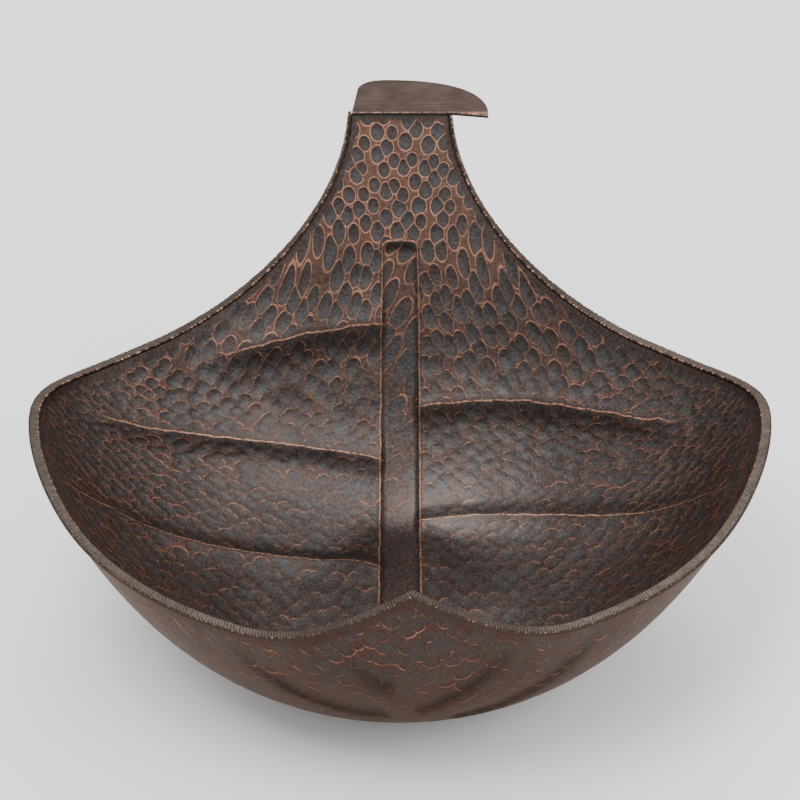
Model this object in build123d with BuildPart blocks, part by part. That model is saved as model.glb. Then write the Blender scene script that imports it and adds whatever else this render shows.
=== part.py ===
"""Leaf-shaped hammered bowl: a raised sheet-metal leaf, two rim strips and a stem tip.

The origin is the middle of the flat base, on the surface the bowl stands on. +Z is up,
the leaf's tip points to -Y and its stem rises at +Y. All sizes are in millimetres.
"""

from math import acos, cos, radians, sin, tan
import os

from build123d import *

os.makedirs("parts", exist_ok=True)

# Sheet wall, measured on its outer surface
sheet = 2.0                # thickness of the sheet
base_radius = 58.0         # flat base
rim_level = 140.0          # height where the wall stops curving and runs on straight
half_width = 214.5         # middle to side at rim_level
front_reach = 208.0        # middle to leaf tip at rim_level
back_reach = 153.0         # middle to back wall at rim_level
side_turn = 54.0           # degrees that each wall's ellipse arc runs through
front_turn = 82.0
back_turn = 52.0
curve_steps = 7            # sections between the base and rim_level
straight_step = 45.0       # spacing of the sections above rim_level

# Rim line: a low level line that lifts at both sides, at the tip and up the stem
rim_low = 128.5            # height of the line between its crests
crest_height = 145.0       # at the two sides
crest_front = 112.0        # how far the side crest runs towards the tip
crest_back = 95.0          # and towards the stem
tip_height = 171.0         # point of the leaf
tip_offset = 6.5           # the point stands a little to the right
tip_spread = 92.0          # half-width of the rise to the point
tip_slope = 34.0           # degrees, at the point
stem_top = 250.0           # top edge of the stem
stem_half_width = 31.0     # at the top edge
flank_foot = 155.0         # half-width where the flank joins the low line
flank_shares = [(0.085, 0.704), (0.206, 0.465), (0.379, 0.247), (0.605, 0.078)]

# Midrib, a channel pressed outwards up the middle of the back wall
midrib_width = 26.0
midrib_depth = 4.5
midrib_top = 170.0         # crown of its arched end
midrib_arch = 3.0          # rise of the arch

# Rim strips, flat bar on edge along the sheet's cut edge
strip_width = 6.35
strip_thickness = 2.0
strip_inside = 2.2         # how far it stands inside the sheet

# Stem tip, a flat hooked plate lying on the stem's top edge
plate_thickness = 2.5
plate_depth = 44.9         # front to back
plate_inset = 0.8          # its left side stands in from the stem's edge
plate_lean = 3.0           # the left side leans in by this much towards the far edge
plate_corner = 16.0        # rounded far corner on the left, along the side
plate_crown = -8.0         # where the far edge is furthest back, across the bowl
plate_straight = 56.0      # how far the far edge carries on before it sweeps to the hook
hook_length = 24.0         # the hook's blunt point stands out past the stem's edge
hook_drop = 4.0            # the point stands this far in front of the plate's front edge
hook_blunt = 5.5           # length of the point's cut end
hook_sweep = 12.5          # how far the far edge runs straight into the point

far = 2 * half_width       # past the outside of the bowl
line_steps = 16            # points on a rim line that is moved out


def wall_reach(level, rim_reach, turn, inset):
    """Reach from the middle at a level: an ellipse arc from the base, then straight."""
    turn = radians(turn)
    share = min(level / rim_level, 1)
    angle = acos(1 - share * (1 - cos(turn)))
    spread = rim_reach - inset - base_radius
    flare = spread * (1 - cos(turn)) / (rim_level * sin(turn) * tan(turn))
    straight = max(level - rim_level, 0)
    return base_radius + spread * sin(angle) / sin(turn) + straight * flare


def leaf_levels():
    """Heights of the sections, closest together near the base."""
    curved = [rim_level * (step / curve_steps) ** 2 for step in range(curve_steps + 1)]
    top = stem_top + straight_step
    straight = []
    while (curved + straight)[-1] + straight_step < top:
        straight.append((curved + straight)[-1] + straight_step)
    return curved + straight + [top]


def leaf_blank(inset):
    """Solid filling the bowl, its surface moved inwards from the sheet's outer surface."""
    with BuildPart() as blank:
        for level in leaf_levels():
            height = level + inset * max(1 - level / rim_level, 0)
            side = wall_reach(level, half_width, side_turn, inset)
            front = wall_reach(level, front_reach, front_turn, inset)
            back = wall_reach(level, back_reach, back_turn, inset)
            with BuildSketch(Plane.XY.offset(height)):
                with BuildLine():
                    EllipticalCenterArc((0, 0), side, back, 0, arc_size=180)
                    EllipticalCenterArc((0, 0), side, front, 180, arc_size=180)
                make_face()
        loft()
    return blank.part


def moved_out(curve, distance):
    """The curve moved sideways, to the left of the way it runs."""
    shares = [step / line_steps for step in range(line_steps + 1)]
    points = [curve @ share + (curve % share).rotate(Axis.Z, 90) * distance for share in shares]
    return Spline(*points, tangents=[curve % 0, curve % 1])


def rim_block(rise):
    """Everything under the rim line, with the line moved out by rise."""
    level = rim_low + rise
    with BuildPart() as block:
        # between the ends of the side crests, seen from the side
        with BuildSketch(Plane.YZ):
            with BuildLine():
                line = Spline(
                    (-crest_front, rim_low),
                    (0, crest_height),
                    (crest_back, rim_low),
                    tangents=[(1, 0), (1, 0)],
                    mode=Mode.PRIVATE,
                )
                crest = moved_out(line, rise)
                Polyline(crest @ 1, (crest_back, 0), (-crest_front, 0), crest @ 0)
            make_face()
        extrude(amount=far, both=True)
        # behind them, with the stem's two flanks, seen from the front
        with BuildSketch(Plane.XZ.offset(-crest_back)):
            with BuildLine():
                run = flank_foot - stem_half_width
                climb = stem_top - rim_low
                steps = [(stem_half_width + run * x, rim_low + climb * z) for x, z in flank_shares]
                line = Spline(
                    (stem_half_width, stem_top),
                    *steps,
                    (flank_foot, rim_low),
                    tangents=[(0, -1), (1, 0)],
                    mode=Mode.PRIVATE,
                )
                flank = moved_out(line, rise)
                Polyline(flank @ 1, (far, level), (far, 0), (0, 0), (0, stem_top), flank @ 0)
            make_face()
            mirror(about=Plane.YZ)
        extrude(amount=-far)
        # in front of them, with the rise to the leaf tip, seen from the front
        with BuildSketch(Plane.XZ.offset(crest_front)):
            with BuildLine():
                point = (tip_offset, tip_height)
                rising = (cos(radians(tip_slope)), sin(radians(tip_slope)))
                falling = (rising[0], -rising[1])
                left_line = Spline(
                    (tip_offset - tip_spread, rim_low),
                    point,
                    tangents=[(1, 0), rising],
                    mode=Mode.PRIVATE,
                )
                right_line = Spline(
                    point,
                    (tip_offset + tip_spread, rim_low),
                    tangents=[falling, (1, 0)],
                    mode=Mode.PRIVATE,
                )
                left = moved_out(left_line, rise)
                right = moved_out(right_line, rise)
                if rise:
                    Polyline(left @ 1, (tip_offset, tip_height + rise / rising[0]), right @ 0)
                Polyline(right @ 1, (far, level), (far, 0), (-far, 0), (-far, level), left @ 0)
            make_face()
        extrude(amount=far)
    return block.part


def midrib(inset, margin, floor):
    """The midrib's channel down to a surface, widened on each side by margin."""
    half = midrib_width / 2 + margin
    arch = midrib_arch + margin / 2
    spring = midrib_top + margin - arch
    with BuildPart() as rib:
        with BuildSketch(Plane.XZ):
            with BuildLine():
                EllipticalCenterArc((0, spring), half, arch, 0, arc_size=180)
                Polyline((-half, spring), (-half, floor), (half, floor), (half, spring))
            make_face()
        extrude(amount=-far)
        add(leaf_blank(inset), mode=Mode.INTERSECT)
    return rib.part


# Leaf bowl: one sheet, raised, with the midrib pressed outwards
with BuildPart() as leaf_bowl:
    add(leaf_blank(0))
    add(midrib(-midrib_depth, sheet, 0))
    add(leaf_blank(sheet), mode=Mode.SUBTRACT)
    add(midrib(sheet - midrib_depth, 0, sheet), mode=Mode.SUBTRACT)
    add(rim_block(0), mode=Mode.INTERSECT)
leaf_bowl.part.label = "leaf_bowl"
export_step(leaf_bowl.part, "parts/leaf_bowl.step")

# Rim strips: one ring along the cut edge, parted at the leaf tip and by the stem
with BuildPart() as rim_ring:
    add(leaf_blank(sheet + strip_inside - strip_width))
    add(leaf_blank(sheet + strip_inside), mode=Mode.SUBTRACT)
    add(rim_block(strip_thickness), mode=Mode.INTERSECT)
    add(rim_block(0), mode=Mode.SUBTRACT)

for side_name, keep in [("left", Keep.BOTTOM), ("right", Keep.TOP)]:
    with BuildPart() as rim_strip:
        add(rim_ring.part)
        split(bisect_by=Plane.YZ.offset(tip_offset), keep=keep)
    rim_strip.part.label = f"rim_strip_{side_name}"
    export_step(rim_strip.part, f"parts/rim_strip_{side_name}.step")

# Stem tip: flat plate whose far edge curves round to a hook on its right
stem_front = wall_reach(stem_top, back_reach, back_turn, sheet + strip_inside)
with BuildPart() as stem_tip:
    with BuildSketch(Plane.XY.offset(stem_top)):
        with BuildLine():
            plate_left = stem_half_width - plate_inset
            hook_reach = stem_half_width + hook_length
            far_edge = stem_front + plate_depth
            hook_front = stem_front - hook_drop
            strip_side = stem_half_width + strip_thickness
            corner = (plate_lean - plate_left, far_edge - plate_corner)
            crown = (plate_crown, far_edge)
            hook_point = (hook_reach, hook_front + hook_blunt)
            Line((-plate_left, stem_front), corner)
            Spline(corner, crown, tangents=[(0, 1), (1, 0)])
            Bezier(
                crown,
                (plate_crown + plate_straight, far_edge),
                (hook_reach, hook_front + hook_blunt + hook_sweep),
                hook_point,
            )
            Polyline(
                hook_point,
                (hook_reach, hook_front),
                (strip_side, stem_front),
                (-plate_left, stem_front),
            )
        make_face()
    extrude(amount=plate_thickness)
stem_tip.part.label = "stem_tip"
export_step(stem_tip.part, "parts/stem_tip.step")
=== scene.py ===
from math import acos, atan2, ceil, cos, hypot, pi, radians, sin, sqrt, tan

import bmesh
import bpy
from mathutils import Matrix, Vector, kdtree, noise
from mathutils.geometry import interpolate_bezier


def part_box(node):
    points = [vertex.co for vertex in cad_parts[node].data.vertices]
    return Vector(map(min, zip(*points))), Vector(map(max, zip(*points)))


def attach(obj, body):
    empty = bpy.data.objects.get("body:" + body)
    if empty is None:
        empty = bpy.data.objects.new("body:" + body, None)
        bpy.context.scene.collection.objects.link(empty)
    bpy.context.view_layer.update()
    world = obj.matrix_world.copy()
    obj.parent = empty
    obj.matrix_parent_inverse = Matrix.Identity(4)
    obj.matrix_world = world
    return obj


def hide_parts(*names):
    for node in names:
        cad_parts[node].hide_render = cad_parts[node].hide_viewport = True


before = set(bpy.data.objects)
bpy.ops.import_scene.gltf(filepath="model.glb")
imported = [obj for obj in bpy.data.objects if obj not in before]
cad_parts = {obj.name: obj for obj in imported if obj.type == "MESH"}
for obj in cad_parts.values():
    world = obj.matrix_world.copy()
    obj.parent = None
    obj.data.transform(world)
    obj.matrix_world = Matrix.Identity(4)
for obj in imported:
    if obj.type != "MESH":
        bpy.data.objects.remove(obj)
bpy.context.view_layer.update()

mm = 0.001


def addObject(name, data):
    holder = bpy.data.objects.new(name, data)
    bpy.context.scene.collection.objects.link(holder)
    return holder


def addPiece(name, shape, scale=1):
    # the bmesh becomes an object at the origin, with its place in its mesh
    mesh = bpy.data.meshes.new(name)
    shape.to_mesh(mesh)
    shape.free()
    mesh.transform(Matrix.Scale(scale, 4))
    return addObject(name, mesh)


def ease(low, high, value):
    # 0 below low, 1 above high, smooth between
    share = min(max((value - low) / (high - low), 0), 1)
    return share * share * (3 - 2 * share)


# the camera looks down into the bowl from its front
view = {
    "elevation": 35.0,       # degrees above the table
    "distance": 1.600,
    "target": (0.0, -0.018, 0.115),
    "pitchUp": 1.515,        # degrees, lifts the framing a little
    "lens": 121.7,           # on a 36 mm sensor
}


def addCamera():
    camera = bpy.data.cameras.new("camera")
    camera.lens = view["lens"]
    camera.sensor_width = 36
    camera.clip_end = 50
    holder = addObject("camera", camera)
    rise = radians(view["elevation"])
    away = Vector((0, -cos(rise), sin(rise))) * view["distance"]
    holder.location = Vector(view["target"]) + away
    holder.rotation_euler = (pi / 2 - rise + radians(view["pitchUp"]), 0, 0)
    bpy.context.scene.camera = holder


room = {
    "floorHalf": 6.0,
    "floorColour": (0.95, 0.95, 0.95, 1),
    "floorRoughness": 0.9,
    "skyColour": (1.0, 1.0, 1.0, 1),
    "skyStrength": 1.25,
}

# name, place, aimed at, size, watts
lamps = [
    ("keyLamp", (-0.45, -0.75, 1.7), (0, 0.05, 0.1), 0.8, 22),
    ("fillLamp", (1.2, -0.9, 1.2), (0, 0, 0.1), 1.0, 12),
    ("backLamp", (0.2, 1.3, 1.5), (0, 0, 0.15), 1.0, 12),
]


def addLamps():
    for name, place, aim, size, power in lamps:
        lamp = bpy.data.lights.new(name, "AREA")
        lamp.energy = power
        lamp.size = size
        holder = addObject(name, lamp)
        holder.location = place
        toward = Vector(aim) - Vector(place)
        holder.rotation_euler = toward.to_track_quat("-Z", "Y").to_euler()


def feed(tree, socket, value):
    # a link from another node, or a constant
    if isinstance(value, bpy.types.NodeSocket):
        tree.links.new(value, socket)
    else:
        socket.default_value = value


def put(tree, kind, inputs=None, **settings):
    node = tree.nodes.new(kind)
    for name, value in settings.items():
        setattr(node, name, value)
    for name, value in (inputs or {}).items():
        feed(tree, node.inputs[name], value)
    return node


def calc(tree, operation, first, second=0.0, third=0.0, clamp=False):
    inputs = {0: first, 1: second, 2: third}
    return put(tree, "ShaderNodeMath", inputs, operation=operation, use_clamp=clamp).outputs[0]


def times(tree, *values):
    product = values[0]
    for value in values[1:]:
        product = calc(tree, "MULTIPLY", product, value)
    return product


def span(tree, value, low, high, atLow=0.0, atHigh=1.0):
    # eases from atLow to atHigh as value goes from low to high
    inputs = {"Value": value, "From Min": low, "From Max": high, "To Min": atLow, "To Max": atHigh}
    return put(tree, "ShaderNodeMapRange", inputs, interpolation_type="SMOOTHSTEP").outputs[0]


def blendColour(tree, factor, first, second):
    inputs = {0: factor, 6: first, 7: second}
    return put(tree, "ShaderNodeMix", inputs, data_type="RGBA", blend_type="MIX").outputs[2]


def readMark(tree, name, part="Vector"):
    return put(tree, "ShaderNodeAttribute", attribute_name=name).outputs[part]


def openGroup(name, inputs, outputs):
    group = bpy.data.node_groups.new(name, "ShaderNodeTree")
    for label, kind in inputs:
        group.interface.new_socket(label, in_out="INPUT", socket_type=kind)
    for label, kind in outputs:
        group.interface.new_socket(label, in_out="OUTPUT", socket_type=kind)
    given = group.nodes.new("NodeGroupInput").outputs
    result = group.nodes.new("NodeGroupOutput").inputs
    return group, given, result


def placeGroup(tree, group, **inputs):
    return put(tree, "ShaderNodeGroup", inputs, node_tree=group).outputs


# the hammer marks, the same cells in the metal and in its finish
marks = {
    "pitch": 8.9,            # mm from one blow to the next
    "randomness": 0.52,
    "radius": 0.55,          # of a blow, in pitches
    "radiusSpread": 0.2,     # how much the blows differ in size
    "leastForce": 0.45,      # the weakest blow's share of the depth
    "forceSpread": 0.9,      # and how much more the strongest has
    "neckRadius": 0.90,      # how much of that on the stem
    "neckSqueeze": 0.20,     # and how much narrower
    "sideStretch": 0.10,     # the blows grow longer up the two sides
    "insideDepth": 0.56,     # mm, on the walls
    "floorDepth": 0.26,
    "outsideDepth": 0.20,
    "turn": 45.0,            # degrees, staggers the rows
    "neckStretch": 0.20,     # the blows grow longer up the stem
    "backLean": 0.45,        # and lean towards it on the back wall
    "slant": 0.5,            # how far the rows follow the bowl's slant instead of its wall
    "outsideShift": (41.3, 17.7, 0),   # so that the outside's blows are others than the inside's
}


def blowCells(tree, place, spread):
    # the cells, how far from its blow's middle a point lies, and the hollow that the blow leaves
    cells = {}
    for feature in ("F1", "DISTANCE_TO_EDGE"):
        inputs = {"Vector": place, "Scale": 1.0, "Randomness": marks["randomness"]}
        cells[feature] = put(
            tree, "ShaderNodeTexVoronoi", inputs, voronoi_dimensions="2D", feature=feature
        )
    distance = cells["F1"].outputs["Distance"]
    vary, least = marks["radiusSpread"], marks["radius"] - marks["radiusSpread"] / 2
    size = calc(tree, "MULTIPLY_ADD", cells["F1"].outputs["Color"], vary, least)
    ratio = calc(tree, "DIVIDE", distance, times(tree, size, spread))
    bowl = calc(tree, "MULTIPLY_ADD", times(tree, ratio, ratio), -1.0, 1.0, clamp=True)
    return cells, ratio, bowl


def hammerGroup():
    group, given, result = openGroup(
        "hammerMarks",
        [("Place", "NodeSocketVector"), ("Spread", "NodeSocketFloat")],
        [(label, "NodeSocketFloat") for label in ("Bowl", "Rim", "Ridge", "Upper", "Cell")],
    )
    cells, ratio, bowl = blowCells(group, given["Place"], given["Spread"])
    middle = {0: given["Place"], 1: cells["F1"].outputs["Position"]}
    away = put(group, "ShaderNodeVectorMath", middle, operation="SUBTRACT").outputs[0]
    turn = radians(marks["turn"])
    upward = {0: away, 1: (-sin(turn), cos(turn), 0)}
    up = put(group, "ShaderNodeVectorMath", upward, operation="DOT_PRODUCT").outputs["Value"]
    group.links.new(bowl, result["Bowl"])
    # a thin rim round the blow, and a ridge where two blows meet
    inner = span(group, ratio, 0.92, 0.99)
    outer = span(group, ratio, 1.0, 1.12, 1.0, 0.10)
    group.links.new(times(group, inner, outer), result["Rim"])
    edge = cells["DISTANCE_TO_EDGE"].outputs["Distance"]
    group.links.new(span(group, edge, 0.005, 0.045, 1.0, 0.0), result["Ridge"])
    # the upper side of each blow, where copper along its edge is a painted highlight
    group.links.new(span(group, up, -0.1, 0.4), result["Upper"])
    group.links.new(cells["F1"].outputs["Color"], result["Cell"])
    return group


def hammerWork():
    # pushes the surface in under each blow
    tree = bpy.data.node_groups.new("hammerWork", "GeometryNodeTree")
    tree.interface.new_socket("Geometry", in_out="INPUT", socket_type="NodeSocketGeometry")
    tree.interface.new_socket("Geometry", in_out="OUTPUT", socket_type="NodeSocketGeometry")
    given = tree.nodes.new("NodeGroupInput")
    result = tree.nodes.new("NodeGroupOutput")
    stored = []
    for name, kind in (
        ("hammerPlace", "FLOAT_VECTOR"),
        ("hammerDepth", "FLOAT"),
        ("hammerSpread", "FLOAT"),
    ):
        mark = put(tree, "GeometryNodeInputNamedAttribute", {"Name": name}, data_type=kind)
        stored.append(mark.outputs["Attribute"])
    place, depth, spread = stored
    cells, ratio, bowl = blowCells(tree, place, spread)
    cell = cells["F1"].outputs["Color"]
    force = calc(tree, "MULTIPLY_ADD", cell, marks["forceSpread"], marks["leastForce"])
    push = times(tree, bowl, force, depth, -mm)
    normal = tree.nodes.new("GeometryNodeInputNormal").outputs[0]
    inputs = {0: normal, "Scale": push}
    offset = put(tree, "ShaderNodeVectorMath", inputs, operation="SCALE").outputs[0]
    inputs = {"Geometry": given.outputs[0], "Offset": offset}
    move = put(tree, "GeometryNodeSetPosition", inputs)
    tree.links.new(move.outputs[0], result.inputs[0])
    return tree


def patinaGroup():
    # clouds of three sizes
    group, given, result = openGroup(
        "patina",
        [("Place", "NodeSocketVector")],
        [(label, "NodeSocketFloat") for label in ("Broad", "Mottle", "Fine")],
    )
    for label, scale, detail, low, high in (
        ("Broad", 14.0, 2.0, 0.38, 0.64),
        ("Mottle", 70.0, 4.0, 0.34, 0.68),
        ("Fine", 520.0, 3.0, 0.25, 0.75),
    ):
        inputs = {"Vector": given["Place"], "Scale": scale, "Detail": detail, "Roughness": 0.6}
        texture = put(group, "ShaderNodeTexNoise", inputs)
        group.links.new(span(group, texture.outputs["Fac"], low, high), result[label])
    return group


copper = {
    "bright": (0.62, 0.31, 0.20, 1),
    "land": (0.150, 0.082, 0.062, 1),
    "dark": (0.080, 0.066, 0.063, 1),
    "brown": (0.120, 0.083, 0.073, 1),
    "slate": (0.112, 0.101, 0.097, 1),
    # a painted blue-grey sheen, standing in for a reflection in the blows' hollows
    "blueSheen": (0.098, 0.102, 0.104, 1),
    "red": (0.110, 0.046, 0.036, 1),
    # painted shade in the plate's seam gap
    "grooveShade": (0.045, 0.045, 0.046, 1),
    # near-black, for the soot in the grain and for the painted shade
    "nearBlack": (0.012, 0.008, 0.006, 1),
    "grazing": (0.66, 0.52, 0.47, 1),      # tint of what it reflects at a low angle
    "barTop": (0.110, 0.095, 0.083, 1),
    # the bar's sides, painted dark as shade
    "barSideShade": (0.034, 0.024, 0.020, 1),
    # painted shade in the bar's tool-mark grooves
    "barGrooveShade": (0.016, 0.012, 0.010, 1),
    "plateLight": (0.060, 0.046, 0.041, 1),
    "plateDark": (0.030, 0.021, 0.018, 1),
}


finish = {
    "metallic": 0.8,
    "roughness": 0.42,       # before the patina varies it
    "hollowSheen": 0.9,          # how much the blows differ in their painted blue-grey sheen
    "landTint": 0.7,         # copper between the blows where the wear is greatest
    "nearBlack": 0.6,             # how much of the fine grain is soot
    "polish": 0.06,          # how much smoother the bare copper is
    "blowBump": 0.35,        # of a blow's depth
    "fineBump": 0.09,        # mm
    "mottleBump": 0.06,
    "barBump": 0.08,
    "plateBump": 0.10,
}


def newMaterial(name, metallic, roughness):
    material = bpy.data.materials.new(name)
    material.use_nodes = True
    tree = material.node_tree
    shader = next(node for node in tree.nodes if node.type == "BSDF_PRINCIPLED")
    shader.inputs["Metallic"].default_value = metallic
    shader.inputs["Roughness"].default_value = roughness
    if metallic:
        shader.inputs["Specular Tint"].default_value = copper["grazing"]
    return material, tree, shader


def hammeredCopper(hammer, patina):
    material, tree, shader = newMaterial("hammeredCopper", finish["metallic"], finish["roughness"])
    place = put(tree, "ShaderNodeTexCoord").outputs["Object"]
    cloud = placeGroup(tree, patina, Place=place)
    spread = readMark(tree, "hammerSpread", "Fac")
    blow = placeGroup(tree, hammer, Place=readMark(tree, "hammerPlace"), Spread=spread)
    depth = readMark(tree, "hammerDepth", "Fac")
    wear = readMark(tree, "wear", "Fac")
    ink = put(tree, "ShaderNodeSeparateXYZ", {"Vector": readMark(tree, "lines")}).outputs
    worked = span(tree, depth, 0.02, 0.20)

    # dark patina, redder in patches, with a painted blue-grey sheen in the hollows of the blows
    redness = readMark(tree, "redness", "Fac")
    warm = blendColour(tree, redness, copper["slate"], copper["brown"])
    base = blendColour(tree, cloud["Broad"], copper["dark"], warm)
    base = blendColour(tree, times(tree, cloud["Mottle"], redness), base, copper["red"])
    vary = calc(tree, "MULTIPLY_ADD", blow["Cell"], finish["hollowSheen"], 0.1)
    base = blendColour(tree, times(tree, blow["Bowl"], worked, vary), base, copper["blueSheen"])
    land = calc(tree, "SUBTRACT", 1.0, span(tree, blow["Bowl"], 0.0, 0.12))
    land = times(tree, land, worked, calc(tree, "POWER", wear, 2.0), finish["landTint"])
    base = blendColour(tree, land, base, copper["land"])

    # bare copper worn along the edges of the blows; where the wear is slight it keeps to their
    # upper side as a painted highlight
    ridge = times(tree, blow["Ridge"], span(tree, blow["Bowl"], 0.0, 0.08))
    ridge = calc(tree, "MULTIPLY", ridge, calc(tree, "MULTIPLY_ADD", wear, 0.6, 0.25), clamp=True)
    edge = calc(tree, "MAXIMUM", blow["Rim"], ridge)
    allRound = calc(tree, "MULTIPLY_ADD", wear, 1.1, -0.2)
    sided = calc(tree, "MAXIMUM", blow["Upper"], allRound, clamp=True)
    edge = times(tree, edge, sided, worked)
    rub = calc(tree, "MULTIPLY_ADD", cloud["Mottle"], 0.7, -0.4)
    rub = calc(tree, "ADD", rub, calc(tree, "MULTIPLY_ADD", cloud["Fine"], 0.5, -0.2))
    rub = calc(tree, "ADD", rub, wear, clamp=True)
    bareAndGlint = times(tree, edge, rub)

    # and along the veins and the midrib
    vein = span(tree, calc(tree, "ABSOLUTE", ink["X"]), 0.15, 0.65, 1.0, 0.0)
    vein = times(tree, vein, ink["Y"])
    rib = span(tree, calc(tree, "ABSOLUTE", ink["Z"]), 0.2, 0.7, 1.0, 0.0)
    broken = calc(tree, "MULTIPLY_ADD", cloud["Fine"], 1.1, 0.15, clamp=True)
    line = times(tree, calc(tree, "MAXIMUM", vein, rib), broken)
    bareAndGlint = calc(tree, "MAXIMUM", bareAndGlint, line, clamp=True)

    # soot in the grain, and painted shade: darker towards near-black where the shade mark is low,
    # beside the veins and at the outside's front, with the bare copper dimmed there too
    shade = readMark(tree, "shade", "Fac")
    grain = calc(tree, "MULTIPLY_ADD", cloud["Fine"], -finish["nearBlack"], 0.55)
    base = blendColour(tree, grain, base, copper["nearBlack"])
    base = blendColour(tree, calc(tree, "SUBTRACT", 1.0, shade), base, copper["nearBlack"])
    bareAndGlint = times(tree, bareAndGlint, calc(tree, "MULTIPLY_ADD", shade, 0.6, 0.4))
    colour = blendColour(tree, bareAndGlint, base, copper["bright"])
    tree.links.new(colour, shader.inputs["Base Color"])
    rough = calc(tree, "MULTIPLY_ADD", cloud["Fine"], 0.16, 0.36)
    rough = calc(tree, "ADD", rough, times(tree, bareAndGlint, -finish["polish"]))
    tree.links.new(rough, shader.inputs["Roughness"])

    height = times(tree, blow["Bowl"], depth, -finish["blowBump"])
    height = calc(tree, "ADD", height, times(tree, cloud["Fine"], finish["fineBump"]))
    height = calc(tree, "ADD", height, times(tree, cloud["Mottle"], finish["mottleBump"]))
    bump = put(tree, "ShaderNodeBump", {"Height": height, "Distance": mm, "Strength": 1.0})
    tree.links.new(bump.outputs[0], shader.inputs["Normal"])
    return material


def barCopper(patina):
    material, tree, shader = newMaterial("barCopper", finish["metallic"], finish["roughness"])
    place = put(tree, "ShaderNodeTexCoord").outputs["Object"]
    cloud = placeGroup(tree, patina, Place=place)
    nick = readMark(tree, "nick", "Fac")
    # painted light and shade: the bar's top faces lighter, its sides and chamfered corners painted
    # dark as shade
    patches = calc(tree, "MULTIPLY_ADD", cloud["Mottle"], -0.4, 1.0)
    top = times(tree, readMark(tree, "top", "Fac"), patches)
    base = blendColour(tree, top, copper["barSideShade"], copper["barTop"])
    # painted shade in the grooves of the tool marks
    base = blendColour(tree, readMark(tree, "grooveShade", "Fac"), base, copper["barGrooveShade"])
    broken = calc(tree, "MULTIPLY_ADD", cloud["Fine"], 1.2, 0.1)
    worn = calc(tree, "MULTIPLY", nick, broken, clamp=True)
    colour = blendColour(tree, worn, base, copper["bright"])
    tree.links.new(colour, shader.inputs["Base Color"])
    rough = calc(tree, "MULTIPLY_ADD", cloud["Fine"], 0.2, 0.34)
    tree.links.new(rough, shader.inputs["Roughness"])
    inputs = {"Height": cloud["Fine"], "Distance": finish["barBump"] * mm, "Strength": 1.0}
    bump = put(tree, "ShaderNodeBump", inputs)
    tree.links.new(bump.outputs[0], shader.inputs["Normal"])
    return material


def plateCopper(patina, frontEdge, topFace):
    material, tree, shader = newMaterial("plateCopper", finish["metallic"], finish["roughness"])
    place = put(tree, "ShaderNodeTexCoord").outputs["Object"]
    cloud = placeGroup(tree, patina, Place=place)
    # brushed from side to side
    drawn = put(tree, "ShaderNodeMapping", {"Vector": place, "Scale": (40, 600, 600)}).outputs[0]
    streaks = put(tree, "ShaderNodeTexNoise", {"Vector": drawn, "Scale": 1.0, "Detail": 4.0})
    brushed = span(tree, streaks.outputs["Fac"], 0.35, 0.65)
    base = blendColour(tree, times(tree, brushed, 0.5), copper["plateDark"], copper["plateLight"])
    base = blendColour(tree, cloud["Mottle"], base, copper["plateLight"])
    # the front face below its upper edge painted dark as shade in the seam's gap
    where = put(tree, "ShaderNodeSeparateXYZ", {"Vector": place}).outputs
    front = span(tree, where["Y"], frontEdge + 0.2 * mm, frontEdge + 0.8 * mm, 1.0, 0.0)
    top = span(tree, where["Z"], topFace - 1.0 * mm, topFace - 0.4 * mm)
    below = times(tree, front, calc(tree, "SUBTRACT", 1.0, top))
    base = blendColour(tree, below, base, copper["grooveShade"])
    # a bright line along the front's upper edge
    broken = calc(tree, "MULTIPLY_ADD", cloud["Fine"], 0.7, -0.15, clamp=True)
    colour = blendColour(tree, times(tree, front, top, broken), base, copper["bright"])
    tree.links.new(colour, shader.inputs["Base Color"])
    tree.links.new(calc(tree, "MULTIPLY_ADD", brushed, 0.14, 0.36), shader.inputs["Roughness"])
    inputs = {"Height": brushed, "Distance": finish["plateBump"] * mm, "Strength": 1.0}
    bump = put(tree, "ShaderNodeBump", inputs)
    tree.links.new(bump.outputs[0], shader.inputs["Normal"])
    return material


# the sheet is drawn as a flat leaf plan (u, v) and then raised, in millimetres
leaf = {
    "sheet": 2.0,
    "baseRadius": 58.0,
    "rimLevel": 140.0,       # the wall runs on straight above it
    "halfWidth": 214.5,      # at rimLevel
    "frontReach": 208.0,
    "backReach": 153.0,
    "sideTurn": 54.0,        # degrees that each wall's arc runs through
    "frontTurn": 82.0,
    "backTurn": 52.0,
    "insideSpacing": 2.0,    # of the mesh
    "outsideSpacing": 2.7,
    "rimSteps": 1440,        # directions in which the rim's distance is worked out
    "rimSpacing": 0.5,       # of the points along the rim
}

rimShape = {
    "low": 128.5,
    "crest": 145.0,
    "crestFront": 112.0,
    "crestBack": 95.0,
    "tip": 171.0,
    "tipOffset": 6.5,
    "tipSpread": 92.0,
    "tipSlope": 34.0,
    "stemTop": 250.0,
    "stemHalf": 31.0,
    "flankFoot": 155.0,
    "flankCurve": 1.13,
}

midrib = {
    "half": 13.0,
    "tipHalf": 9.0,
    "depth": 3.4,
    "wall": 2.6,             # width of the channel's sloped side
    "arch": 3.0,             # rise of its end
    "top": 268.0,            # crown of its arched end, along the leaf plan
    "endWall": 8.0,
    "fadeFrom": -40.0,       # it runs out across the floor
    "bottom": -110.0,
}

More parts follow.
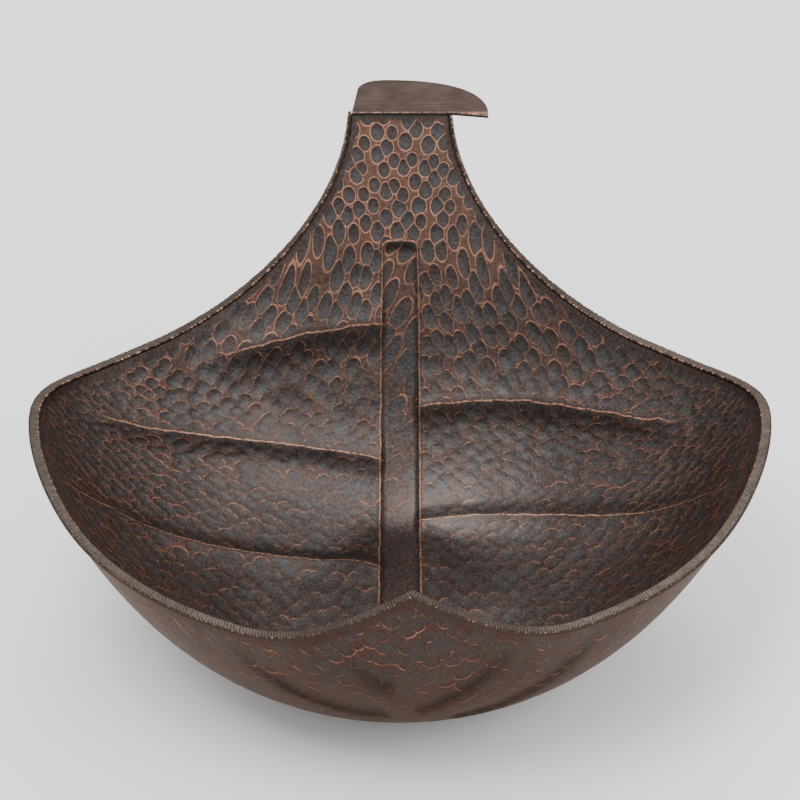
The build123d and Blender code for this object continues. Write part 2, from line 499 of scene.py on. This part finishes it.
# one line each, on the leaf plan: v = root + slope * |u| + bow * u * u
veins = [
    {"side": -1, "root": 220.5, "slope": 0.00, "bow": -0.0020, "from": 13, "to": 132,
     "above": 22, "below": 14},
    {"side": -1, "root": 142.5, "slope": 0.25, "bow": -0.0021, "from": 13, "to": 236,
     "above": 22, "below": 14},
    {"side": -1, "root": 25.6, "slope": 0.57, "bow": -0.0032, "from": 13, "to": 258,
     "above": 14, "below": 22},
    {"side": 1, "root": 175.7, "slope": 0.20, "bow": -0.0026, "from": 13, "to": 212,
     "above": 22, "below": 14},
    {"side": 1, "root": 90.9, "slope": 0.30, "bow": -0.0031, "from": 13, "to": 244,
     "above": 14, "below": 22},
    {"side": -1, "root": -197, "slope": -0.15, "bow": -0.0014, "from": 10, "to": 112,
     "above": 10, "below": 30},
    {"side": -1, "root": -242, "slope": -0.60, "bow": -0.0040, "from": 6, "to": 40,
     "above": 10, "below": 30},
    {"side": 1, "root": -200, "slope": -0.85, "bow": 0.0010, "from": 12, "to": 84,
     "above": 10, "below": 30},
    {"side": 1, "root": -165, "slope": -0.15, "bow": -0.0020, "from": 36, "to": 138,
     "above": 10, "below": 30},
]
veinHeight = 2.6
veinReach = 30.0             # no vein shows further than this from its crest


def wallFlare(reach, turn):
    rise = leaf["rimLevel"] * sin(turn) * tan(turn)
    return (reach - leaf["baseRadius"]) * (1 - cos(turn)) / rise


def wallLength(reach, turn, steps=400):
    # along the curved part, from the base to rimLevel
    total = 0
    for step in range(steps):
        angle = turn * (step + 0.5) / steps
        out = (reach - leaf["baseRadius"]) * cos(angle) / sin(turn)
        up = leaf["rimLevel"] * sin(angle) / (1 - cos(turn))
        total += hypot(out, up) * turn / steps
    return total


walls = {}
for wallName in ("side", "front", "back"):
    wallReach = leaf[{"side": "halfWidth", "front": "frontReach", "back": "backReach"}[wallName]]
    wallTurn = radians(leaf[wallName + "Turn"])
    walls[wallName] = {
        "reach": wallReach,
        "turn": wallTurn,
        "flare": wallFlare(wallReach, wallTurn),
        "length": wallLength(wallReach, wallTurn),
    }


def reachAt(wall, level):
    # from the middle out to the wall at a height
    turn = wall["turn"]
    share = min(level / leaf["rimLevel"], 1)
    angle = acos(1 - share * (1 - cos(turn)))
    out = leaf["baseRadius"] + (wall["reach"] - leaf["baseRadius"]) * sin(angle) / sin(turn)
    return out + max(level - leaf["rimLevel"], 0) * wall["flare"]


def raised(u, v):
    # the point of the outer surface that a point of the leaf plan becomes, in millimetres
    run = hypot(u, v)
    base = leaf["baseRadius"]
    if run <= base:
        return Vector((u, v, 0))
    side, end = walls["side"], walls["front" if v < 0 else "back"]
    across, along = (u / run) ** 2, (v / run) ** 2
    turn, length, flare = (
        side[key] * across + end[key] * along for key in ("turn", "length", "flare")
    )
    share = (run - base) / length
    level = leaf["rimLevel"] * (1 - cos(min(share, 1) * turn)) / (1 - cos(turn))
    level += max(run - base - length, 0) / sqrt(1 + flare * flare)
    return Vector((reachAt(side, level) * u / run, reachAt(end, level) * v / run, level))


def inward(u, v, step=0.5):
    # the surface's normal towards the inside of the bowl
    alongU = raised(u + step, v) - raised(u - step, v)
    alongV = raised(u, v + step) - raised(u, v - step)
    return alongU.cross(alongV).normalized()


def rimHeight(x, y):
    # height of the cut edge over a point of the plan
    low = rimShape["low"]
    if y > rimShape["crestBack"]:
        out = (abs(x) - rimShape["stemHalf"]) / (rimShape["flankFoot"] - rimShape["stemHalf"])
        if out <= 0:
            return rimShape["stemTop"]
        angle = acos(max(1 - min(out, 1), 0) ** (1 / rimShape["flankCurve"]))
        return low + (rimShape["stemTop"] - low) * (1 - sin(angle) ** rimShape["flankCurve"])
    if y > -rimShape["crestFront"]:
        reach = rimShape["crestBack"] if y > 0 else rimShape["crestFront"]
        return low + (rimShape["crest"] - low) * (0.5 + 0.5 * cos(pi * y / reach))
    share = abs(x - rimShape["tipOffset"]) / rimShape["tipSpread"]
    if share >= 1:
        return low
    rise = rimShape["tip"] - low
    pull = tan(radians(rimShape["tipSlope"])) * rimShape["tipSpread"]
    fade = 2 * share ** 3 - 3 * share ** 2 + 1
    return low + rise * fade - pull * (share ** 3 - 2 * share ** 2 + share)


def rimRun(angle):
    # how far the leaf plan reaches in a direction
    near, far = 150.0, 430.0
    while far - near > 0.01:
        middle = (near + far) / 2
        point = raised(middle * cos(angle), middle * sin(angle))
        if point.z < rimHeight(point.x, point.y):
            near = middle
        else:
            far = middle
    return near


rimSteps = leaf["rimSteps"]
rimRuns = [rimRun(2 * pi * step / rimSteps) for step in range(rimSteps)]
rimLine = []                 # points along the leaf plan's outline
for rimStep in range(rimSteps):
    here, there = rimRuns[rimStep], rimRuns[(rimStep + 1) % rimSteps]
    parts = ceil(hypot(there - here, here * 2 * pi / rimSteps) / leaf["rimSpacing"])
    for part in range(parts):
        angle = 2 * pi * (rimStep + part / parts) / rimSteps
        run = here + (there - here) * part / parts
        rimLine.append(Vector((run * cos(angle), run * sin(angle), 0)))
rimTree = kdtree.KDTree(len(rimLine))
for index, point in enumerate(rimLine):
    rimTree.insert(point, index)
rimTree.balance()


def insideRim(u, v):
    turns = atan2(v, u) / (2 * pi) % 1 * rimSteps
    step = int(turns)
    here, there = rimRuns[step % rimSteps], rimRuns[(step + 1) % rimSteps]
    return hypot(u, v) < here + (there - here) * (turns - step)


def veinMarks(u, v):
    # how far the sheet rises here, the distance to the nearest crest, how bright it is there
    # and how much the crest shades
    wander = 1.1 * noise.noise(Vector((u / 11, v / 11, 0.3)))
    wander += 0.5 * noise.noise(Vector((u / 4, v / 4, 7.1)))
    rise, nearest, bright, shadow = 0.0, veinReach, 0.0, 0.0
    for vein in veins:
        run = u * vein["side"]
        if run < vein["from"] - 4 or run > vein["to"] + 12:
            continue
        line = vein["root"] + vein["slope"] * run + vein["bow"] * run * run
        lean = vein["slope"] + 2 * vein["bow"] * run
        across = (v - line) / sqrt(1 + lean * lean) + wander
        if abs(across) > veinReach:
            continue
        fade = 1 - ease(vein["to"] - 40, vein["to"] + 10, run)
        fade *= ease(vein["from"] - 4, vein["from"] + 1, run)
        width = vein["above"] if across > 0 else vein["below"]
        here = max(1 - abs(across) / width, 0)
        rise = max(rise, veinHeight * sqrt(fade) * here ** 1.3)
        if abs(across) < abs(nearest):
            nearest = across
            bright = min(fade * 1.6, 1)
            steep = across if vein["above"] < vein["below"] else -across
            shadow = fade * ease(1.5, 5, steep) * (1 - ease(7, 22, steep))
    return rise, nearest, bright, shadow


def channelHalf(v):
    if v > 0:
        return midrib["half"]
    return midrib["half"] + (midrib["tipHalf"] - midrib["half"]) * min(v / midrib["bottom"], 1)


def channelTop(u, half):
    return midrib["top"] - midrib["arch"] * (1 - sqrt(max(1 - (u / half) ** 2, 0)))


def channelEdge(u, v):
    # distance outside the midrib's outline, negative within it
    half = channelHalf(v)
    wander = 0.5 * noise.noise(Vector((u / 9, v / 9, 4.4)))
    arch = v - channelTop(u, half)
    return max(abs(u) - half + wander, arch * midrib["wall"] / 4, midrib["bottom"] - v)


def channelDrop(u, v):
    half = channelHalf(v)
    side = ease(0, midrib["wall"], half - abs(u))
    ends = ease(0, midrib["endWall"], channelTop(u, half) - v)
    ends *= ease(midrib["bottom"], midrib["fadeFrom"], v)
    return midrib["depth"] * side * ends


def relief(u, v, level):
    # what is pressed into the sheet, in millimetres towards the inside
    rise = veinMarks(u, v)[0]
    # over the flat base the sheet is lifted round the midrib, so the channel stays off the table
    lift = max(1 - level / (2 * midrib["depth"]), 0) ** 2 * midrib["depth"]
    lift *= 1 - ease(midrib["half"] + 3, 3.4 * midrib["half"], abs(u))
    lift *= ease(midrib["bottom"], midrib["fadeFrom"], v)
    return rise + lift - channelDrop(u, v)


def hammerPlace(u, v, point):
    # leaf plan evened out so that a blow is as wide as it is long anywhere on the wall
    run = max(hypot(u, v), 1)
    squeeze = min(hypot(point.x, point.y) / run, 1)
    across, along = (u / run) ** 2, (v / run) ** 2
    placeU = u * (across + squeeze * along)
    placeV = v * (along + squeeze * across)
    share = marks["slant"]
    toBack = 2 * ease(-0.55, 0.1, v / run) - 1
    placeU += (point.x - placeU) * share
    placeV += (0.55 * point.y + 0.83 * point.z * toBack - placeV) * share
    up = max(placeV - 150, 0)
    lean = marks["backLean"] * ease(40, 150, placeV) * (1 - ease(200, 270, placeV))
    placeV += lean * sqrt(placeU * placeU + 150) - marks["neckStretch"] * up
    squeeze = marks["neckSqueeze"] * ease(190, 270, v)
    placeU *= 1 + squeeze - marks["sideStretch"] * ease(60, 200, abs(u))
    turn = radians(marks["turn"])
    turnedU = placeU * cos(turn) - placeV * sin(turn)
    turnedV = placeU * sin(turn) + placeV * cos(turn)
    return Vector((turnedU, turnedV, 0)) / marks["pitch"]


def leafSkin(spacing):
    # one face of the sheet, cut from a grid laid on the leaf plan
    skin = bmesh.new()
    halfU = max(abs(point.x) for point in rimLine) + 2 * spacing
    lowV = min(point.y for point in rimLine) - 2 * spacing
    highV = max(point.y for point in rimLine) + 2 * spacing
    fit = Matrix.Translation((0, (lowV + highV) / 2, 0))
    fit @= Matrix.Diagonal((halfU, (highV - lowV) / 2, 1, 1))
    bmesh.ops.create_grid(
        skin,
        x_segments=round(2 * halfU / spacing),
        y_segments=round((highV - lowV) / spacing),
        size=1,
        matrix=fit,
    )
    spare = [face for face in skin.faces if not insideRim(*face.calc_center_median().xy)]
    bmesh.ops.delete(skin, geom=spare, context="FACES")
    rim = [vert for vert in skin.verts if vert.is_boundary]
    for vert in rim:
        vert.co = rimTree.find(vert.co)[0]
    # the rows next to the rim are evened out
    near = {face for vert in rim for face in vert.link_faces}
    near = {face for nearFace in near for vert in nearFace.verts for face in vert.link_faces}
    loose = list({vert for face in near for vert in face.verts if not vert.is_boundary})
    for again in range(4):
        bmesh.ops.smooth_vert(skin, verts=loose, factor=0.5, use_axis_x=True, use_axis_y=True)
    return skin


tone = {
    "wear": 0.22,            # bare copper round the blows, everywhere inside
    "stemWear": 0.75,        # how much more up the stem
    "sideWear": 0.33,        # and up the two sides
    "outsideWear": 0.30,
    "veinShadow": 0.3,       # painted shadow beside a vein
    "outsideShade": 0.44,    # how light the outside is at the front: its darker patina with painted shade
    "flankShade": 0.26,      # how much lighter round the sides, as painted light
    # painted shadow beside the outside's creases
    "outsideShadow": 0.75,
    "redness": 0.3,
    "frontRedness": 0.6,     # how much redder the two sides are towards the front
    "flankGrey": 0.8,        # how much less red the outside is round the sides, where the grey is a painted reflection
    "channelBlows": 0.35,    # depth of the blows in the midrib, as a share
    "channelStretch": 0.45,  # and how they are drawn out along it
}


def raiseSkin(skin, inside):
    place = skin.verts.layers.float_vector.new("hammerPlace")
    depth = skin.verts.layers.float.new("hammerDepth")
    wear = skin.verts.layers.float.new("wear")
    spread = skin.verts.layers.float.new("hammerSpread")
    shade = skin.verts.layers.float.new("shade")
    redness = skin.verts.layers.float.new("redness")
    lines = skin.verts.layers.float_vector.new("lines")
    for vert in skin.verts:
        u, v = vert.co.xy
        point = raised(u, v)
        normal = inward(u, v)
        rise, vein, bright, shadow = veinMarks(u, v)
        edge = channelEdge(u, v)
        rimGap = rimTree.find(Vector((u, v, 0)))[2]
        blows = hammerPlace(u, v, point)
        work = ease(4, 10, rimGap + 2 * noise.noise(Vector((u / 12, v / 12, 2))))
        push = relief(u, v, point.z)
        if inside:
            work *= 1 - 0.85 * bright * (1 - ease(1.5, 6, abs(vein)))
            if edge < 0:
                work *= tone["channelBlows"]
                blows.y *= tone["channelStretch"]
            deeper = (marks["insideDepth"] - marks["floorDepth"]) * ease(20, 90, point.z)
            vert[depth] = work * (marks["floorDepth"] + deeper)
            vert[spread] = 1 - (1 - marks["neckRadius"]) * ease(170, 260, v)
            onStem, onSide = ease(140, 290, v), ease(90, 200, abs(u))
            vert[wear] = tone["wear"] + tone["stemWear"] * onStem + tone["sideWear"] * onSide
            # painted shadow beside the veins' crests
            vert[shade] = 1 - tone["veinShadow"] * shadow
            nearFront = (1 - ease(-60, 90, v)) * ease(60, 180, abs(u))
            vert[redness] = tone["redness"] + tone["frontRedness"] * nearFront
            vert[lines] = (vein, bright, edge)
        else:
            push -= leaf["sheet"]
            blows += Vector(marks["outsideShift"])
            vert[depth] = work * marks["outsideDepth"] * ease(0, 30, point.z)
            vert[spread] = 1
            vert[wear] = tone["outsideWear"]
            # outside: a darker patina with painted shade at the front, painted light and a painted
            # grey reflection round the sides, and painted shadow beside the creases
            flank = ease(50, 170, abs(u))
            light = tone["outsideShade"] + tone["flankShade"] * flank
            vert[shade] = light * (1 - tone["outsideShadow"] * shadow)
            vert[redness] = 1 - tone["flankGrey"] * flank
            vert[lines] = (veinReach, 0, veinReach)
        vert[place] = blows
        vert.co = point + normal * (push + leaf["sheet"])
        if not inside:
            vert.co.z = max(vert.co.z, 0)
    if not inside:
        bmesh.ops.reverse_faces(skin, faces=skin.faces)


def makeLeaf():
    skins = []
    for spacing, inside in ((leaf["insideSpacing"], True), (leaf["outsideSpacing"], False)):
        skin = leafSkin(spacing)
        raiseSkin(skin, inside)
        sheetMesh = bpy.data.meshes.new("leafSkin")
        skin.to_mesh(sheetMesh)
        skin.free()
        skins.append(sheetMesh)
    shell = bmesh.new()
    for sheetMesh in skins:
        shell.from_mesh(sheetMesh)
        bpy.data.meshes.remove(sheetMesh)
    rim = [edge for edge in shell.edges if edge.is_boundary]
    bmesh.ops.bridge_loops(shell, edges=rim)
    for face in shell.faces:
        face.smooth = True
    piece = addPiece("leaf_sheet", shell, mm)
    work = piece.modifiers.new("hammer", "NODES")
    work.node_group = hammerWork()
    bpy.context.view_layer.update()
    state = bpy.context.evaluated_depsgraph_get()
    beaten = bpy.data.meshes.new_from_object(piece.evaluated_get(state))
    piece.modifiers.clear()
    piece.data = beaten
    for vert in beaten.vertices:
        vert.co.z = max(vert.co.z, 0)
    return piece


# the flat bar on edge along the sheet's rim, in millimetres
strip = {
    "width": 6.35,
    "thickness": 2.0,
    "inside": 2.2,           # how far it stands inside the sheet
    "spacing": 0.42,         # of the mesh along the bar
    "chamfer": 0.42,
    "markPitch": 1.9,        # cross-wise tool marks
    "markDepth": 0.20,
    "nick": 0.42,            # in its two upper edges
    "topParts": 7,           # faces across its top
    "overrun": 8.0,          # past both ends, before they are cut off
    "smoothing": 6,          # steps each way over which its direction is evened out
    "sharpAngle": 35.0,      # degrees
}


def stripSection():
    # round the bar's cross-section: (across from the outer surface, height, how much of a corner)
    outer = strip["width"] - strip["inside"] - leaf["sheet"]
    inner = -strip["inside"] - leaf["sheet"]
    high, cut = strip["thickness"], strip["chamfer"]
    ring = [(outer, 0.0, 0), (outer, high / 2, 0)]
    ring += [(outer, high - cut, 0.4), (outer - cut, high, 0.4)]
    for part in range(1, strip["topParts"]):
        across = outer - cut + (inner - outer + 2 * cut) * part / strip["topParts"]
        ring.append((across, high, 0))
    ring += [(inner + cut, high, 1), (inner, high - cut, 1)]
    ring += [(inner, high / 2, 0), (inner, 0.0, 0)]
    ring.append(((inner + outer) / 2, 0.0, 0))
    return ring


def stripPath(side):
    # the sheet's cut edge from the leaf's tip to the stem's top, evenly spaced
    points = []
    for point in rimLine:
        raisedPoint = raised(point.x, point.y)
        onSide = (raisedPoint.x - rimShape["tipOffset"]) * side > 0
        if onSide and raisedPoint.z < rimShape["stemTop"] - 0.3:
            turnFromTip = ((atan2(point.y, point.x) + pi / 2) * side + 0.3) % (2 * pi)
            points.append((turnFromTip, point, raisedPoint))
    points.sort(key=lambda item: item[0])
    path, travelled = [], 0.0
    last = points[0][2]
    for turnFromTip, point, raisedPoint in points:
        travelled += (raisedPoint - last).length
        last = raisedPoint
        path.append((travelled, point, raisedPoint))
    return path


def stripRail(side):
    # even steps along the path, carried straight on past both of its ends
    path = stripPath(side)
    length, overrun = path[-1][0], strip["overrun"]
    steps = round((length + 2 * overrun) / strip["spacing"])
    rail, index = [], 0
    for step in range(steps + 1):
        travelled = (length + 2 * overrun) * step / steps - overrun
        inRange = min(max(travelled, 0), length)
        while index < len(path) - 2 and path[index + 1][0] < inRange:
            index += 1
        first, second = path[index], path[index + 1]
        share = (inRange - first[0]) / max(second[0] - first[0], 1e-6)
        plan = first[1].lerp(second[1], share)
        point = first[2].lerp(second[2], share)
        past = travelled - inRange
        rail.append({"travelled": travelled, "plan": plan, "point": point, "past": past})
    reach = strip["smoothing"]
    for step, place in enumerate(rail):
        before, after = rail[max(step - reach, 0)], rail[min(step + reach, steps)]
        place["along"] = (after["point"] - before["point"]).normalized()
    skip = reach + round(overrun / strip["spacing"])
    for place in rail:
        if place["past"]:
            end = rail[skip if place["past"] < 0 else steps - skip]
            place["along"] = end["along"]
            place["point"] = place["point"] + end["along"] * place["past"]
    return rail


def makeStrip(name, side):
    rail, ring = stripRail(side), stripSection()
    steps = len(rail) - 1
    bar = bmesh.new()
    bmesh.ops.create_grid(bar, x_segments=steps, y_segments=len(ring), size=1)
    nick = bar.verts.layers.float.new("nick")
    grooveShade = bar.verts.layers.float.new("grooveShade")
    top = bar.verts.layers.float.new("top")
    for vert in bar.verts:
        step = round((vert.co.x + 1) / 2 * steps)
        corner = round((vert.co.y + 1) / 2 * len(ring)) % len(ring)
        travelled, along = rail[step]["travelled"], rail[step]["along"]
        out = -inward(rail[step]["plan"].x, rail[step]["plan"].y)
        out.z = 0
        out = (out - along * out.dot(along)).normalized()
        up = out.cross(along).normalized() * side
        across, high, edge = ring[corner]
        rub = noise.noise(Vector((travelled / 1.3, across / 3, side * 5)))
        if high >= strip["thickness"] - 0.01:
            slant = travelled + 0.35 * across
            slant += 0.5 * noise.noise(Vector((travelled / 6, across, 9)))
            mark = (0.5 + 0.5 * cos(2 * pi * slant / strip["markPitch"])) * (0.7 + 0.6 * rub)
            high -= strip["markDepth"] * mark
            # where the tool marks' grooves are painted dark as shade
            vert[grooveShade] = mark
            # the top faces, painted lighter than the shaded sides
            vert[top] = 0 if edge else 1
        if edge:
            bite = strip["nick"] * max(rub + 0.2, 0)
            across -= bite if across > 0 else -bite
            high -= bite * 0.6
        vert[nick] = edge * (0.12 + 1.3 * rub)
        vert.co = rail[step]["point"] + out * across + up * high
    bmesh.ops.remove_doubles(bar, verts=bar.verts, dist=0.01)
    # cut off at the leaf's tip and level with the stem's top, and closed there
    for planeAt, planeNormal in (
        (Vector((rimShape["tipOffset"], 0, 0)), Vector((-side, 0, 0))),
        (Vector((0, 0, rimShape["stemTop"])), Vector((0, 0, 1))),
    ):
        cut = bmesh.ops.bisect_plane(
            bar,
            geom=bar.verts[:] + bar.edges[:] + bar.faces[:],
            plane_co=planeAt,
            plane_no=planeNormal,
            clear_outer=True,
        )
        ends = [item for item in cut["geom_cut"] if isinstance(item, bmesh.types.BMEdge)]
        bmesh.ops.contextual_create(bar, geom=ends)
    bmesh.ops.recalc_face_normals(bar, faces=bar.faces)
    for face in bar.faces:
        face.smooth = len(face.verts) < 6
    for edge in bar.edges:
        if len(edge.link_faces) == 2 and edge.calc_face_angle() > radians(strip["sharpAngle"]):
            edge.smooth = False
    return addPiece(name, bar, mm)


# the hooked plate on the stem's top, in metres; its outer sizes are the CAD node's
plate = {
    "lean": 0.003,           # the left side leans in towards the far edge
    "corner": 0.016,
    "crown": -0.008,         # where its far edge is furthest back
    "straight": 0.056,       # how far the far edge carries on before it sweeps to the hook
    "sweep": 0.0125,         # how far it runs straight into the hook
    "hookDrop": 0.004,
    "hookBlunt": 0.0055,
    "topRound": 0.0007,
    "cornerPull": 0.6,       # how full the far corner's curve is
    "stripSide": 0.002,      # the notch beside the stem clears the bar
    "cornerParts": 14,
    "hookParts": 30,
}


def makePlate():
    low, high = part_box("stem_tip")
    front = low.y + plate["hookDrop"]
    z = low.z
    leftCorner = Vector((low.x + plate["lean"], high.y - plate["corner"], z))
    crown = Vector((plate["crown"], high.y, z))
    hook = Vector((high.x, low.y + plate["hookBlunt"], z))
    outline = [Vector((low.x, front, z))]
    outline += interpolate_bezier(
        leftCorner,
        leftCorner + Vector((0, plate["corner"] * plate["cornerPull"], 0)),
        crown - Vector(((crown.x - low.x) * plate["cornerPull"], 0, 0)),
        crown,
        plate["cornerParts"],
    )
    outline += interpolate_bezier(
        crown,
        crown + Vector((plate["straight"], 0, 0)),
        hook + Vector((0, plate["sweep"], 0)),
        hook,
        plate["hookParts"],
    )[1:]
    notch = rimShape["stemHalf"] * mm + plate["stripSide"]
    outline += [Vector((high.x, low.y, z)), Vector((notch, front, z))]
    body = bmesh.new()
    face = body.faces.new([body.verts.new(point) for point in outline])
    grown = bmesh.ops.extrude_face_region(body, geom=[face])
    top = [item for item in grown["geom"] if isinstance(item, bmesh.types.BMVert)]
    bmesh.ops.translate(body, verts=top, vec=(0, 0, high.z - low.z))
    bmesh.ops.recalc_face_normals(body, faces=body.faces)
    rims = [edge for edge in body.edges if abs(edge.verts[0].co.z - edge.verts[1].co.z) < 1e-6]
    bmesh.ops.bevel(
        body,
        geom=rims,
        offset=plate["topRound"],
        segments=4,
        profile=0.5,
        affect="EDGES",
        material=-1,
    )
    return addPiece("stem_plate", body)


def makeFloor():
    ground = bmesh.new()
    bmesh.ops.create_grid(ground, x_segments=1, y_segments=1, size=room["floorHalf"])
    floor = addPiece("floor", ground)
    material, tree, shader = newMaterial("paleFloor", 0.0, room["floorRoughness"])
    shader.inputs["Base Color"].default_value = room["floorColour"]
    floor.data.materials.append(material)


def setSky():
    world = bpy.data.worlds.new("sky")
    world.use_nodes = True
    background = next(node for node in world.node_tree.nodes if node.type == "BACKGROUND")
    background.inputs["Color"].default_value = room["skyColour"]
    background.inputs["Strength"].default_value = room["skyStrength"]
    bpy.context.scene.world = world


addCamera()
addLamps()
setSky()
makeFloor()
print("room ready")

patina = patinaGroup()
leafPiece = makeLeaf()
leafPiece.data.materials.append(hammeredCopper(hammerGroup(), patina))
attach(leafPiece, "root")
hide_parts("leaf_bowl")
print("leaf ready:", len(leafPiece.data.polygons), "faces")

barMaterial = barCopper(patina)
for stripName, side in (("left", -1), ("right", 1)):
    bar = makeStrip("rim_bar_" + stripName, side)
    bar.data.materials.append(barMaterial)
    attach(bar, "root")
    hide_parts("rim_strip_" + stripName)
    print("rim bar ready:", len(bar.data.polygons), "faces")

platePiece = makePlate()
plateLow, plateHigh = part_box("stem_tip")
platePiece.data.materials.append(plateCopper(patina, plateLow.y + plate["hookDrop"], plateHigh.z))
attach(platePiece, "root")
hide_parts("stem_tip")
print("stem plate ready")
